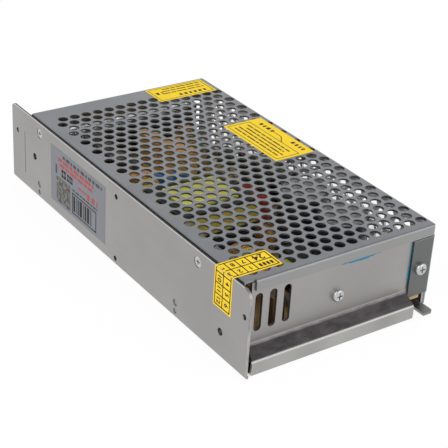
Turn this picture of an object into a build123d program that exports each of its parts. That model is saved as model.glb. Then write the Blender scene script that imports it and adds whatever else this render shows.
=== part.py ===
from build123d import *
import math
import os

# Mesh case switching power supply: a folded aluminium tray closed by a folded,
# perforated steel cover, with the circuit board and its parts inside.
# Millimetres. X runs along the case (wire terminals at -X, slotted end at +X),
# the plain label wall is at -Y, the perforated wall at +Y, and Z is up from the base.

# Case
length = 196.0
width = 98.0
height = 39.0
tray_sheet = 1.2
tray_bend = 0.5
cover_sheet = 0.8
cover_bend = 0.3
cover_clearance = 0.3
label_gap = 0.7
cover_label_bend = 0.6
seat_clearance = 0.1

# Slotted end of the tray: low strip, ledge that slopes inward, then the end plate
end_recess = 6.2
strip_height = 6.9
ledge_top = 9.8
strip_inset_label = 3.0
strip_inset_mesh = 13.0
plate_inset_label = 5.8
plate_inset_mesh = 3.5
plate_foot = 11.2
corner_relief = 1.7
tongue_width = 5.2
tongue_inset = 1.6
tongue_corner = 1.5
slot_count = 3
slot_width = 3.5
slot_pitch = 6.8
slot_first = 9.5
slot_foot = 15.3
slot_head = 6.7
end_screw_y = -0.7
end_screw_z = 19.8

# Label wall and tray edges
wall_corner_front = 4.5
wall_corner_rear = 2.0
mesh_flange_height = 7.0
label_hole_radius = 1.65
collar_radius = 2.9
collar_height = 1.6
pierce_radius = 1.2
side_mount_rear = 22.9
side_mount_rear_z = 20.3
side_mount_front = 17.8
side_mount_front_z = 11.9
end_pierce = 3.0
end_pierce_z = 26.9
rear_pierce = 5.4
middle_pierce_low = 3.6
middle_pierce_high = 5.4
dimple_radius = 1.6
dimple_depth = 0.4
dimple_z = 7.6
pressed_mark_rear = 27.2
pressed_mark_front = 49.8
foot_dimple_z = 3.6
pressed_line = 13.0
pressed_line_low = 7.8
pressed_line_high = 29.0
pressed_line_width = 0.9
pressed_line_depth = 0.12

# Base mounting holes, tapped in collars that are drawn up from the sheet
base_mount_spacing_x = 150.0
base_mount_spacing_y = 50.0

# Cover
ledge_length = 15.3
flange_height = 12.0
front_lip = 4.8
lip_start = 7.3
rear_lip = 10.8
tab_width = 11.5
tab_foot = 6.9
tab_seam = 0.4
tab_clearance = 0.3
cover_foot = 0.4
screw_line = 5.0
flange_screw_rear = 27.8
flange_screw_front = 35.4
side_screw_inset = 36.0
side_screw_z = 4.1
tab_screw_z = 20.0
tab_screw_inset = 6.8

# Perforation: staggered round holes in columns across the case
hole_radius = 2.35
column_pitch = 5.35
row_pitch = 6.1
first_column = 6.3
last_column = 12.0
first_row = 9.0
last_row = 3.5
side_first_row = 6.9
side_last_row = 4.5

# Screws
screw_radius = 1.4
screw_clearance = 0.1
pan_head_radius = 2.8
pan_head_height = 1.9
flat_head_radius = 2.3
flat_head_height = 0.9
head_sink = 0.25
recess_depth = 0.9

# Circuit board
board_low = 4.2
board_thickness = 1.6
board_overhang = 0.7
board_rear_gap = 2.0
board_label_gap = 1.4
board_mesh_gap = 1.5
standoff_radius = 2.7
standoff_inset = 8.0
standoff_rear = 28.0
standoff_middle = 62.0
standoff_front = 9.8
insulation_thickness = 0.3
insulation_gap = 0.05

# Voltage selector in the perforated wall
selector_x = -10.0
selector_z = 14.6
selector_length = 20.0
selector_depth = 9.3
selector_height = 14.0
selector_slot_length = 9.4
selector_slot_height = 4.8
selector_slot_depth = 4.4
selector_knob_length = 4.6
selector_travel = 4.0
selector_clearance = 0.4
selector_window_length = 14.0
selector_window_height = 8.0

# Terminal block
ways = 9
way_pitch = 8.25
barrier = 1.2
block_setback = 1.0
block_depth = 16.4
block_inset = 17.0
block_floor = 14.0
block_top = 22.6
back_wall = 1.4
way_screw_depth = 9.0
plate_thickness = 0.8
clamp_washer = 0.8
clamp_head_radius = 3.0
clamp_head_height = 2.2
clamp_shank_radius = 1.6
clamp_shank_length = 6.0
clamp_lift = 2.5
ear_thickness = 1.4
hinge_inset = 3.7
hinge_z = 24.3
hinge_pin_radius = 0.9
hinge_fit = 0.07
flap_thickness = 1.2
flap_clearance = 0.4

# Trimmer
trimmer_inset = 8.0
trimmer_side_gap = 6.8
lamp_pitch = 6.6
lamp_radius = 1.5
trimmer_size = 6.6
trimmer_height = 5.0
rotor_radius = 2.1
rotor_fit = 0.07

# Main transformer: E cores lying flat around a taped winding
transformer_place = (0.56, 0.357)
core_length = 31.0
core_width = 39.0
core_low = 10.0
core_headroom = 6.2
yoke = 5.0
leg = 5.2
winding_gap = 0.3

# Power semiconductors: the hole in the tab, above the middle of the moulded case
device_hole = 7.2

# Places that follow from the values above
half_length = length / 2
half_width = width / 2
tray_radius = tray_bend + tray_sheet
cover_radius = cover_bend + cover_sheet
wall_inside = -half_width + tray_sheet
cover_front = half_length - end_recess
cover_rear = -half_length + ledge_length
cover_under = height - cover_sheet
cover_label_edge = wall_inside + cover_clearance
panel_inside = half_width - cover_sheet
tray_mesh_edge = panel_inside - cover_clearance + seat_clearance
plate_outside = cover_front - cover_sheet - seat_clearance
plate_inside = plate_outside - tray_sheet
label_radius = cover_label_bend + cover_sheet
slot_height = height - slot_head - slot_foot
slot_middle = slot_foot + slot_height / 2
screw_line_z = height - screw_line
flange_screws_x = [-half_length + flange_screw_rear, half_length - flange_screw_front]
side_screws_x = [-half_length + side_screw_inset, half_length - side_screw_inset]
side_mounts = [
    (-half_length + side_mount_rear, side_mount_rear_z),
    (half_length - side_mount_front, side_mount_front_z),
]
columns = int((cover_front - first_column - last_column - cover_rear) / column_pitch) + 1
top_rows = int((width - first_row - last_row) / row_pitch) + 1
side_rows = int((height - side_first_row - side_last_row) / row_pitch) + 1
board_front = plate_inside + board_overhang
board_rear = -half_length + board_rear_gap
board_label_edge = wall_inside + board_label_gap
board_mesh_edge = tray_mesh_edge - tray_sheet - board_mesh_gap
board_top = board_low + board_thickness
bench = board_top
headroom = cover_under - bench
core_top = cover_under - core_headroom
block_rear = -half_length + block_setback
block_front = block_rear + block_depth
block_label_edge = -half_width + block_inset
way_screw_x = block_rear + way_screw_depth
hinge_x = block_front - hinge_inset
trimmer_x = -half_length + trimmer_inset
trimmer_y = -half_width + trimmer_side_gap


def on_board(along, across):
    """A place on the board, by its shares of the case's length and width from the rear label corner."""
    return -half_length + along * length, -half_width + across * width


def slab(x0, x1, y0, y1, z0, z1):
    """A block between two corners."""
    size = (x1 - x0, y1 - y0, z1 - z0)
    middle = ((x0 + x1) / 2, (y0 + y1) / 2, (z0 + z1) / 2)
    return Pos(*middle) * Box(*size)


def post(x, y, z0, z1, radius):
    """An upright cylinder."""
    foot = (Align.CENTER, Align.CENTER, Align.MIN)
    return Pos(x, y, z0) * Cylinder(radius, z1 - z0, align=foot)


def rod(start, direction, reach, radius):
    """A cylinder from a point along a direction."""
    plane = Plane(origin=start, z_dir=direction)
    foot = (Align.CENTER, Align.CENTER, Align.MIN)
    return plane * Cylinder(radius, reach, align=foot)


def folded_profile(plane, points, radius, thickness):
    """The section of a folded sheet, from the line of its outer face."""
    with BuildSketch(plane) as section:
        with BuildLine():
            FilletPolyline(*points, radius=radius)
            offset(amount=thickness, side=Side.LEFT)
        make_face()
    return section.sketch


def quarter_bend(origin, start_dir, axis_dir, reach, outer, inner):
    """A quarter of a tube: one bend of a folded sheet."""
    plane = Plane(origin=origin, x_dir=start_dir, z_dir=axis_dir)
    corner = (Align.MIN, Align.MIN, Align.MIN)
    foot = (Align.CENTER, Align.CENTER, Align.MIN)
    ring = Cylinder(outer, reach, arc_size=90, align=corner)
    return plane * (ring - Cylinder(inner, reach, align=foot))


def pan_screw(start, direction, shank):
    """A pan head screw with a crossed recess, from the seat of its head along its shank."""
    plane = Plane(origin=start, z_dir=direction)
    head = Pos(0, 0, -pan_head_height) * Cylinder(
        pan_head_radius, pan_head_height, align=(Align.CENTER, Align.CENTER, Align.MIN)
    )
    head = fillet(head.edges().sort_by(Axis.Z)[0], pan_head_height * 0.55)
    bar = Box(pan_head_radius * 1.1, 0.6, recess_depth * 2)
    cross = Pos(0, 0, -pan_head_height) * (bar + Rot(0, 0, 90) * bar)
    body = head + Cylinder(screw_radius, shank, align=(Align.CENTER, Align.CENTER, Align.MIN))
    return plane * (body - cross)


def flat_screw(start, direction, shank):
    """A countersunk screw with a crossed recess, from the flat of its head along its shank."""
    plane = Plane(origin=start, z_dir=direction)
    foot = (Align.CENTER, Align.CENTER, Align.MIN)
    head = Cone(flat_head_radius, screw_radius, flat_head_height, align=foot)
    bar = Box(flat_head_radius * 1.0, 0.5, recess_depth * 1.6)
    body = head + Cylinder(screw_radius, shank, align=foot)
    return plane * (body - (bar + Rot(0, 0, 90) * bar))


def sunk_hole(start, direction, reach):
    """The cutter for a countersunk screw."""
    plane = Plane(origin=start, z_dir=direction)
    foot = (Align.CENTER, Align.CENTER, Align.MIN)
    grown = screw_clearance
    cone = Cone(flat_head_radius + grown, screw_radius + grown, flat_head_height, align=foot)
    mouth = Cylinder(flat_head_radius + grown, 1, align=(Align.CENTER, Align.CENTER, Align.MAX))
    return plane * (cone + mouth + Cylinder(screw_radius + grown, reach, align=foot))


def tray_body():
    """Base, label wall and low flange as one folded section, with the open corners cut."""
    points = [
        (-half_width, height),
        (-half_width, 0),
        (tray_mesh_edge, 0),
        (tray_mesh_edge, mesh_flange_height),
    ]
    section = folded_profile(Plane.YZ, points, tray_radius, tray_sheet)
    body = Pos(-half_length, 0, 0) * extrude(section, amount=length)
    relief_start = cover_front - cover_radius
    body -= slab(
        relief_start,
        half_length + 1,
        -half_width + corner_relief,
        half_width,
        -1,
        height - 1,
    )
    tongue_edge = half_width - tongue_inset
    tongue = slab(
        relief_start - tray_radius,
        half_length,
        tongue_edge - tongue_width,
        tongue_edge,
        0,
        tray_sheet,
    )
    outer_corner = tongue.edges().filter_by(Axis.Z).sort_by_distance((half_length, tongue_edge, 0))[0]
    body += fillet(outer_corner, tongue_corner)
    wall_middle = -half_width + tray_sheet / 2
    front = body.edges().filter_by(Axis.Y).sort_by_distance((half_length, wall_middle, height))[0]
    body = fillet(front, wall_corner_front)
    rear = body.edges().filter_by(Axis.Y).sort_by_distance((-half_length, wall_middle, height))[0]
    return fillet(rear, wall_corner_rear)


def end_plate():
    """Strip, sloping ledge and slotted plate, folded up from the base at the +X end."""
    points = [
        (cover_front - 12, 0),
        (half_length, 0),
        (half_length, strip_height),
        (plate_outside, ledge_top),
        (plate_outside, cover_under - cover_clearance),
    ]
    section = folded_profile(Plane.XZ, points, tray_radius, tray_sheet)
    blank = Pos(0, half_width, 0) * extrude(section, amount=width)
    label_side = -half_width
    mesh_side = half_width
    outline = [
        (label_side + strip_inset_label, -1),
        (label_side + strip_inset_label, strip_height),
        (label_side + plate_inset_label, ledge_top),
        (label_side + plate_inset_label, height),
        (mesh_side - plate_inset_mesh, height),
        (mesh_side - plate_inset_mesh, plate_foot),
        (mesh_side - tab_width - tab_clearance, plate_foot),
        (mesh_side - strip_inset_mesh, strip_height),
        (mesh_side - strip_inset_mesh, -1),
    ]
    face = Plane.YZ * make_face(Polyline(*outline, close=True))
    plate = blank & Pos(half_length - 30, 0, 0) * extrude(face, amount=40)
    for number in range(slot_count):
        y = label_side + slot_first + number * slot_pitch
        shape = Plane.YZ * Pos(y, slot_middle) * SlotOverall(slot_height, slot_width, rotation=90)
        plate -= Pos(plate_inside - 2, 0, 0) * extrude(shape, amount=6)
    plate -= rod((plate_inside - 2, end_screw_y, end_screw_z), (1, 0, 0), 8, screw_radius + screw_clearance)
    tab_screw_y = half_width - tab_screw_inset
    plate -= rod((plate_inside - 2, tab_screw_y, tab_screw_z), (1, 0, 0), 8, screw_radius + screw_clearance)
    return plate


def base_mount_places():
    """The four base holes."""
    xs = (-base_mount_spacing_x / 2, base_mount_spacing_x / 2)
    ys = (-base_mount_spacing_y / 2, base_mount_spacing_y / 2)
    return [(x, y) for x in xs for y in ys]


def standoff_ends():
    """X of the two pressed marks low in the label wall."""
    return (-half_length + pressed_mark_rear, half_length - pressed_mark_front)


def standoff_places():
    """The four places where the board is screwed down."""
    label_side = -half_width + standoff_inset
    mesh_side = half_width - standoff_inset
    rear = -half_length + standoff_rear
    middle = -half_length + standoff_middle
    front = cover_front - standoff_front
    return [(rear, label_side - 2), (middle, mesh_side - 0.4), (front, label_side), (front, mesh_side)]


def make_chassis():
    """The tray: one folded aluminium sheet."""
    body = tray_body() + end_plate()
    for x, y in base_mount_places():
        body += post(x, y, tray_sheet / 2, tray_sheet + collar_height, collar_radius)
        body -= post(x, y, -1, tray_sheet + collar_height + 1, label_hole_radius)
    into = (0, 1, 0)
    for x, z in side_mounts:
        body += rod((x, -half_width + tray_sheet / 2, z), into, tray_sheet / 2 + collar_height, collar_radius)
        body -= rod((x, -half_width - 1, z), into, 6, label_hole_radius)
    pierced_holes = [
        (-half_length + rear_pierce, end_pierce_z),
        (half_length - end_pierce, end_pierce_z),
        (0, height - middle_pierce_high),
        (0, middle_pierce_low),
    ]
    for x, z in pierced_holes:
        body -= rod((x, -half_width - 1, z), into, 3, pierce_radius)
    for x in standoff_ends():
        body -= rod((x, -half_width - 1, dimple_z), into, 1 + dimple_depth, dimple_radius)
        body -= rod((x, -half_width - 1, foot_dimple_z), into, 1 + dimple_depth, pierce_radius)
    for x in flange_screws_x:
        body -= sunk_hole((x, -half_width + head_sink, screw_line_z), into, 3)
    for x in side_screws_x:
        body -= rod((x, half_width, side_screw_z), (0, -1, 0), 4, screw_radius + 2 * screw_clearance)
    pressed_line_x = -half_length + pressed_line
    body -= slab(
        pressed_line_x - pressed_line_width / 2,
        pressed_line_x + pressed_line_width / 2,
        -half_width - 1,
        -half_width + pressed_line_depth,
        pressed_line_low,
        pressed_line_high,
    )
    for x, y in standoff_places():
        body -= post(x, y, -1, 2, screw_radius)
    return body


def perforated(plane_at, corners, places, thickness):
    """A flat sheet with round holes, drawn as one face and given its thickness."""
    to_space = lambda a, b: plane_at.from_local_coords(Vector(a, b, 0))
    rim = Wire.make_polygon([to_space(a, b) for a, b in corners], close=True)
    holes = [
        Wire.make_circle(hole_radius, Plane(to_space(a, b), x_dir=plane_at.x_dir, z_dir=plane_at.z_dir))
        for a, b in places
    ]
    return Solid.extrude(Face(rim, holes), plane_at.z_dir * thickness)


def hole_places(rows, start):
    """Staggered columns: every other column has one hole fewer, half a pitch on."""
    places = []
    for column in range(columns):
        x = cover_front - first_column - column * column_pitch
        odd = column % 2
        for row in range(rows - odd):
            places.append((x, start + (row + odd / 2) * row_pitch))
    return places


def beside_window(x, z):
    """Is a side hole clear of the selector window and the side screws?"""
    margin = hole_radius + 1.0
    far_x = abs(x - selector_x) > selector_window_length / 2 + margin
    far_z = abs(z - selector_z) > selector_window_height / 2 + margin
    from_screws = [math.hypot(x - sx, z - side_screw_z) for sx in side_screws_x]
    return (far_x or far_z) and min(from_screws) > flat_head_radius + margin


def make_cover():
    """The perforated cover: one folded steel sheet."""
    top_places = hole_places(top_rows, -half_width + first_row)
    flat_front = cover_front - cover_radius
    flat_rear = cover_rear + cover_radius
    flat_label = cover_label_edge + label_radius
    flat_mesh = half_width - cover_radius
    rim = [(flat_rear, flat_label), (flat_front, flat_label), (flat_front, flat_mesh), (flat_rear, flat_mesh)]
    top = perforated(Plane((0, 0, cover_under)), rim, top_places, cover_sheet)

    flat_top = height - cover_radius
    side_plane = Plane(origin=(0, panel_inside, 0), x_dir=(1, 0, 0), z_dir=(0, 1, 0))
    side_places = [(x, -z) for x, z in hole_places(side_rows, side_first_row) if beside_window(x, z)]
    low = -cover_foot
    rim = [(cover_rear, low), (flat_front, low), (flat_front, -flat_top), (cover_rear, -flat_top)]
    side = perforated(side_plane, rim, side_places, cover_sheet)
    side -= slab(
        selector_x - selector_window_length / 2,
        selector_x + selector_window_length / 2,
        panel_inside - 1,
        half_width + 1,
        selector_z - selector_window_height / 2,
        selector_z + selector_window_height / 2,
    )
    for x in side_screws_x:
        side -= sunk_hole((x, half_width, side_screw_z), (0, -1, 0), 3)

    along = flat_front - flat_rear
    across = flat_mesh - flat_label
    mesh_bend = quarter_bend(
        (flat_rear, flat_mesh, flat_top), (0, 1, 0), (1, 0, 0), along, cover_radius, cover_bend
    )
    flange_top = height - label_radius
    label_bend = quarter_bend(
        (flat_rear, flat_label, flange_top), (0, 0, 1), (1, 0, 0), along, label_radius, cover_label_bend
    )
    flange_foot = height - flange_height
    flange_inside = cover_label_edge + cover_sheet
    flange = slab(flat_rear, flat_front, cover_label_edge, flange_inside, flange_foot, flange_top)
    for x in flange_screws_x:
        flange -= rod((x, cover_label_edge - 1, screw_line_z), (0, 1, 0), 3, screw_radius + screw_clearance)

    lip_label = -half_width + lip_start
    lip_reach = flat_mesh - lip_label
    front_bend = quarter_bend(
        (flat_front, flat_mesh, flat_top), (1, 0, 0), (0, -1, 0), lip_reach, cover_radius, cover_bend
    )
    front = slab(cover_front - cover_sheet, cover_front, lip_label, flat_mesh, height - front_lip, flat_top)
    corner_block = slab(flat_front - 0.2, flat_front, flat_mesh, half_width, height - front_lip, flat_top)
    rear_bend = quarter_bend(
        (flat_rear, flat_label, flat_top), (-1, 0, 0), (0, 1, 0), across, cover_radius, cover_bend
    )
    rear = slab(cover_rear, cover_rear + cover_sheet, flat_label, flat_mesh, height - rear_lip, flat_top)

    tab_head = height - front_lip - tab_seam
    tab_bend = quarter_bend(
        (flat_front, flat_mesh, tab_foot), (1, 0, 0), (0, 0, 1), tab_head - tab_foot, cover_radius, cover_bend
    )
    tab = slab(cover_front - cover_sheet, cover_front, half_width - tab_width, flat_mesh, tab_foot, tab_head)
    tab_screw_y = half_width - tab_screw_inset
    tab -= rod((cover_front - 2, tab_screw_y, tab_screw_z), (1, 0, 0), 4, screw_radius + screw_clearance)
    return top.fuse(
        side, mesh_bend, label_bend, flange, front_bend, front, rear_bend, rear, tab_bend, tab, corner_block
    )


def make_case_screws():
    """The screws that hold the cover, and the one that clamps the transistors to the end plate."""
    into = (0, 1, 0)
    flange_reach = tray_sheet + label_gap + cover_sheet + 0.9
    head_face = -half_width + head_sink
    flange = [flat_screw((x, head_face, screw_line_z), into, flange_reach) for x in flange_screws_x]
    side = [flat_screw((x, half_width, side_screw_z), (0, -1, 0), 2.9) for x in side_screws_x]
    tab_y = half_width - tab_screw_inset
    tab = pan_screw((cover_front, tab_y, tab_screw_z), (-1, 0, 0), 4.5)
    end = pan_screw((plate_outside, end_screw_y, end_screw_z), (-1, 0, 0), 9.2)
    return flange, side, tab, end


def make_board():
    """The circuit board, its standoffs and screws, and the insulating sheet below."""
    board = slab(board_rear, board_front, board_label_edge, board_mesh_edge, board_low, board_top)
    sheet_low = tray_sheet + insulation_gap
    sheet = slab(
        board_rear + 2,
        cover_front - 14,
        board_label_edge + 1.5,
        board_mesh_edge - 1,
        sheet_low,
        sheet_low + insulation_thickness,
    )
    for x, y in base_mount_places():
        sheet -= post(x, y, 0, board_low, collar_radius + 0.4)
    standoffs = []
    screws = []
    for x, y in standoff_places():
        board -= post(x, y, 0, board_top + 1, screw_radius + screw_clearance)
        sheet -= post(x, y, 0, board_low, standoff_radius + 0.4)
        hexagon = extrude(RegularPolygon(standoff_radius, 6), amount=board_low - tray_sheet)
        spacer = Pos(x, y, tray_sheet) * hexagon
        standoffs.append(spacer - post(x, y, 0, board_low + 1, screw_radius + screw_clearance))
        screws.append(pan_screw((x, y, board_top), (0, 0, -1), board_top - 0.8))
    return board, sheet, standoffs, screws


def way_centre(number):
    """Y of the middle of one terminal way."""
    return block_label_edge + barrier + (number + 0.5) * way_pitch - barrier / 2


def make_terminal_block():
    """The moulded block: a base with a wall between each pair of ways and an ear at each end."""
    block_width = ways * way_pitch + barrier
    mesh_end = block_label_edge + block_width
    body = slab(block_rear, block_front, block_label_edge, mesh_end, bench, block_floor)
    body += slab(block_front - back_wall, block_front, block_label_edge, mesh_end, block_floor, block_top)
    for number in range(ways + 1):
        y = block_label_edge + number * way_pitch
        wall = slab(block_rear, block_front, y, y + barrier, block_floor - 1, block_top)
        corner = wall.edges().filter_by(Axis.Y).sort_by_distance((block_rear, y, block_top))[0]
        body += fillet(corner, 3.0)
    for y0 in (block_label_edge - ear_thickness, mesh_end):
        ear = slab(hinge_x - 3.0, block_front, y0, y0 + ear_thickness, bench, hinge_z + 2.2)
        top_edges = ear.edges().filter_by(Axis.Y).sort_by(Axis.Z)[-2:]
        ear = fillet(top_edges, 1.6)
        pin_hole = rod((hinge_x, y0 - 1, hinge_z), (0, 1, 0), ear_thickness + 2, hinge_pin_radius + hinge_fit)
        body += ear - pin_hole
    for number in range(ways):
        y = way_centre(number)
        well_foot = block_floor - clamp_shank_length
        body -= post(way_screw_x, y, well_foot, block_floor + 1, clamp_shank_radius + 0.5)
    return body


def make_terminal_plates():
    """The tinned plates under the screws, each with a leg down the back to the board."""
    plates = []
    half = way_pitch / 2 - barrier / 2 - 0.2
    for number in range(ways):
        y = way_centre(number)
        foot = block_floor
        plate_end = block_front - back_wall - 0.2
        plate = slab(block_rear + 0.6, plate_end, y - half, y + half, foot, foot + plate_thickness)
        plate -= post(way_screw_x, y, foot - 1, foot + plate_thickness + 1, clamp_shank_radius + 0.3)
        plates.append(plate)
    return plates


def make_terminal_screw(number):
    """One terminal screw with its captive square washer, down on its plate."""
    y = way_centre(number)
    seat = block_floor + plate_thickness + 0.05
    half = way_pitch / 2 - barrier / 2 - 0.45
    washer = slab(way_screw_x - half, way_screw_x + half, y - half, y + half, seat, seat + clamp_washer)
    washer = fillet(washer.edges().filter_by(Axis.Z), 0.8)
    washer -= post(way_screw_x, y, seat - 1, seat + 2, clamp_shank_radius + 0.05)
    head_foot = seat + clamp_washer
    head = post(way_screw_x, y, head_foot, head_foot + clamp_head_height, clamp_head_radius)
    head = fillet(head.edges().sort_by(Axis.Z)[-1], 0.9)
    shank = post(way_screw_x, y, seat - clamp_shank_length + 1.2, head_foot + 0.5, clamp_shank_radius)
    bar = Box(clamp_head_radius * 1.3, 0.8, recess_depth * 2)
    cross = Pos(way_screw_x, y, head_foot + clamp_head_height) * (bar + Rot(0, 0, 90) * bar)
    return [washer, head + shank - cross]


def make_terminal_cover():
    """The hinged flap over the terminals, with a rolled edge on the hinge line."""
    block_width = ways * way_pitch + barrier
    label_end = block_label_edge + flap_clearance
    mesh_end = block_label_edge + block_width - flap_clearance
    low = hinge_z - flap_thickness / 2
    flap = slab(block_rear - 0.4, hinge_x, label_end, mesh_end, low, low + flap_thickness)
    corners = flap.edges().filter_by(Axis.Z).sort_by(Axis.X)[:2]
    flap = fillet(corners, 2.0)
    skirt = slab(block_rear - 0.4, block_rear + 0.6, label_end + 2, mesh_end - 2, low - 1.2, low + 0.5)
    barrel = rod((hinge_x, label_end, hinge_z), (0, 1, 0), mesh_end - label_end, 1.15)
    pin_reach = block_width + 2 * ear_thickness - 0.4
    pin_start = block_label_edge - ear_thickness + 0.2
    pin = rod((hinge_x, pin_start, hinge_z), (0, 1, 0), pin_reach, hinge_pin_radius)
    rib_pitch = way_pitch * 3
    rib_foot = low + flap_thickness - 0.2
    flap += skirt + barrel + pin
    for number in range(1, 3):
        y = label_end + number * rib_pitch
        flap += slab(block_rear + 2, hinge_x - 1, y - 0.4, y + 0.4, rib_foot, rib_foot + 0.8)
    return flap


def make_trimmer():
    """The output trimmer: square body with a slotted rotor that sits in it."""
    half = trimmer_size / 2
    top = bench + trimmer_height
    body = slab(trimmer_x - half, trimmer_x + half, trimmer_y - half, trimmer_y + half, bench, top)
    body = fillet(body.edges().filter_by(Axis.Z), 0.6)
    pocket = top - 2.2
    body -= post(trimmer_x, trimmer_y, pocket, top + 1, rotor_radius + rotor_fit)
    rotor = post(trimmer_x, trimmer_y, pocket + 0.1, top + 0.5, rotor_radius)
    rotor -= Pos(trimmer_x, trimmer_y, top + 0.5) * Box(rotor_radius * 1.5, 0.7, 1.6)
    rotor -= Pos(trimmer_x + rotor_radius * 0.7, trimmer_y, top + 0.5) * Box(rotor_radius * 0.5, 1.3, 1.6)
    return body, rotor


def make_selector():
    """The voltage selector: a moulded body behind the window and its sliding knob."""
    face = panel_inside - cover_clearance
    half = selector_length / 2
    low = selector_z - selector_height / 2
    body = slab(selector_x - half, selector_x + half, face - selector_depth, face, low, low + selector_height)
    body = fillet(body.edges().filter_by(Axis.Z), 0.8)
    slot = slab(
        selector_x - selector_slot_length / 2,
        selector_x + selector_slot_length / 2,
        face - selector_slot_depth,
        face + 1,
        selector_z - selector_slot_height / 2,
        selector_z + selector_slot_height / 2,
    )
    knob_start = selector_x - selector_slot_length / 2 + selector_clearance
    knob_half = selector_slot_height / 2 - selector_clearance
    knob = slab(
        knob_start,
        knob_start + selector_knob_length,
        face - selector_slot_depth + selector_clearance,
        half_width - 0.2,
        selector_z - knob_half,
        selector_z + knob_half,
    )
    groove = slab(
        knob_start + selector_knob_length / 2 - 0.5,
        knob_start + selector_knob_length / 2 + 0.5,
        half_width - 1.1,
        half_width + 1,
        selector_z - knob_half,
        selector_z + knob_half,
    )
    return body - slot, knob - groove


def can_capacitor(x, y, radius, tall):
    """An electrolytic can: sleeved cylinder with a groove near its foot and a scored top."""
    can = post(x, y, bench, bench + tall, radius)
    can = fillet(can.edges().sort_by(Axis.Z)[-1], 0.8)
    low = bench + 2.0
    groove = post(x, y, low, low + 1.0, radius + 1) - post(x, y, low, low + 1.0, radius - 0.5)
    score = Box(radius * 1.2, 0.4, 0.5)
    cross = Pos(x, y, bench + tall) * (score + Rot(0, 0, 90) * score)
    return can - groove - cross


def make_transformer():
    """Core, taped winding, foot with its pins, and the tape band that holds the two core halves."""
    transformer_x, transformer_y = on_board(*transformer_place)
    x0 = transformer_x - core_length / 2
    x1 = transformer_x + core_length / 2
    y0 = transformer_y - core_width / 2
    y1 = transformer_y + core_width / 2
    window = slab(x0 + yoke, x1 - yoke, y0 + leg, y1 - leg, core_low - 1, core_top + 1)
    frame = slab(x0, x1, y0, y1, core_low, core_top) - window
    split = slab(x0 - 1, x1 + 1, transformer_y - 0.1, transformer_y + 0.1, core_low - 1, core_top + 1)
    halves = frame - split
    coil = slab(
        x0 + yoke + winding_gap,
        x1 - yoke - winding_gap,
        y0 + leg + winding_gap,
        y1 - leg - winding_gap,
        bench + 3.0,
        core_top + 0.8,
    )
    coil = fillet(coil.edges().filter_by(Axis.Z), 2.0)
    foot = slab(x0 - 1, x1 + 1, y0 + 2, y1 - 2, bench + 0.4, bench + 2.9)
    pins = foot
    for step in range(6):
        y = y0 + 5 + step * (core_width - 10) / 5
        for x in (x0 + 0.5, x1 - 0.5):
            pins += post(x, y, bench, bench + 1.0, 0.5)
    band_low = core_top - 11.0
    band = slab(x0 - 0.4, x1 + 0.4, y0 - 0.4, y1 + 0.4, band_low, core_top - 1.0)
    band -= slab(x0 - 0.05, x1 + 0.05, y0 - 0.05, y1 + 0.05, band_low - 1, core_top + 1)
    return halves, coil, pins, band


def small_transformer(x, y, long_side, short_side, tall):
    """A small taped transformer: winding through a closed core, on its foot."""
    low = bench + 2.0
    place = Pos(x, y, low)
    foot_up = (Align.CENTER, Align.CENTER, Align.MIN)
    bar = 3.0
    core = Box(long_side, short_side, tall, align=foot_up)
    core -= Pos(0, 0, bar) * Box(long_side / 2, short_side + 2, tall - 2 * bar, align=foot_up)
    coil_height = tall - 2 * bar - 0.4
    coil = Pos(0, 0, bar + 0.2) * Box(long_side / 2 - 0.4, short_side + 6, coil_height, align=foot_up)
    coil = fillet(coil.edges().filter_by(Axis.Z), 1.5)
    foot = Box(long_side, short_side + 2, low - bench - 0.05, align=(Align.CENTER, Align.CENTER, Align.MAX))
    return place * core, place * coil, Pos(x, y, low - 0.05) * foot


def ring_choke(place, core_radius, bore, thick, turns, wire):
    """A ring core standing on the board, and the turns of wire round it, one closed loop for each."""
    x, y = place
    middle_z = bench + core_radius + wire + 0.05
    plane = Plane(origin=(x, y, middle_z), z_dir=(0, 1, 0))
    foot = (Align.CENTER, Align.CENTER, Align.CENTER)
    core = Cylinder(core_radius, thick, align=foot) - Cylinder(bore, thick, align=foot)
    loops = []
    middle = (core_radius + bore) / 2
    half_r = (core_radius - bore) / 2 + wire
    half_z = thick / 2 + wire
    shape = Rectangle(2 * half_r, 2 * half_z)
    hollow = Rectangle(2 * half_r - 2 * wire + 0.1, 2 * half_z - 2 * wire + 0.1)
    for turn in range(turns):
        angle = 20 + turn * 320 / (turns - 1)
        ring = Pos(0, 0, -wire / 2) * extrude(shape - hollow, amount=wire)
        stand = Rot(0, 0, angle) * Pos(middle, 0, 0) * Rot(90, 0, 0) * ring
        loops.append(plane * stand)
    return plane * core, loops


def device(x, y, z, facing):
    """A power semiconductor: moulded case, tab and three legs, with its back at the point."""
    case = Pos(0, -0.2, 2.3) * Box(10.0, 8.8, 4.4)
    flag = Pos(0, 7.0, 0.65) * Box(10.0, 6.4, 1.3) - Pos(0, device_hole, 0.6) * Cylinder(1.8, 4)
    legs = [Pos(step * 2.54, -8.0, 2.2) * Box(0.9, 7.2, 0.6) for step in (-1, 0, 1)]
    whole = case + flag + legs
    plane = Plane(origin=(x, y, z), x_dir=Vector(0, 0, 1).cross(Vector(*facing)), z_dir=facing)
    return plane * whole


def disc_part(x, y, radius, thick, along_x):
    """A dipped disc on two short legs."""
    axis = (0, 1, 0) if along_x else (1, 0, 0)
    z = bench + radius + 1.6
    start = (x, y - thick / 2, z) if along_x else (x - thick / 2, y, z)
    disc = rod(start, axis, thick, radius)
    disc = fillet(disc.edges(), thick * 0.4)
    spread = radius * 0.6
    for side in (-1, 1):
        lx = x + side * spread if along_x else x
        ly = y if along_x else y + side * spread
        disc += post(lx, ly, bench, z, 0.35)
    return disc


def boxed(place, size_x, size_y, tall, low=0.0):
    """A block on the board, by the place of its middle."""
    x, y = place
    foot = bench + low
    return slab(x - size_x / 2, x + size_x / 2, y - size_y / 2, y + size_y / 2, foot, foot + tall)


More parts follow.
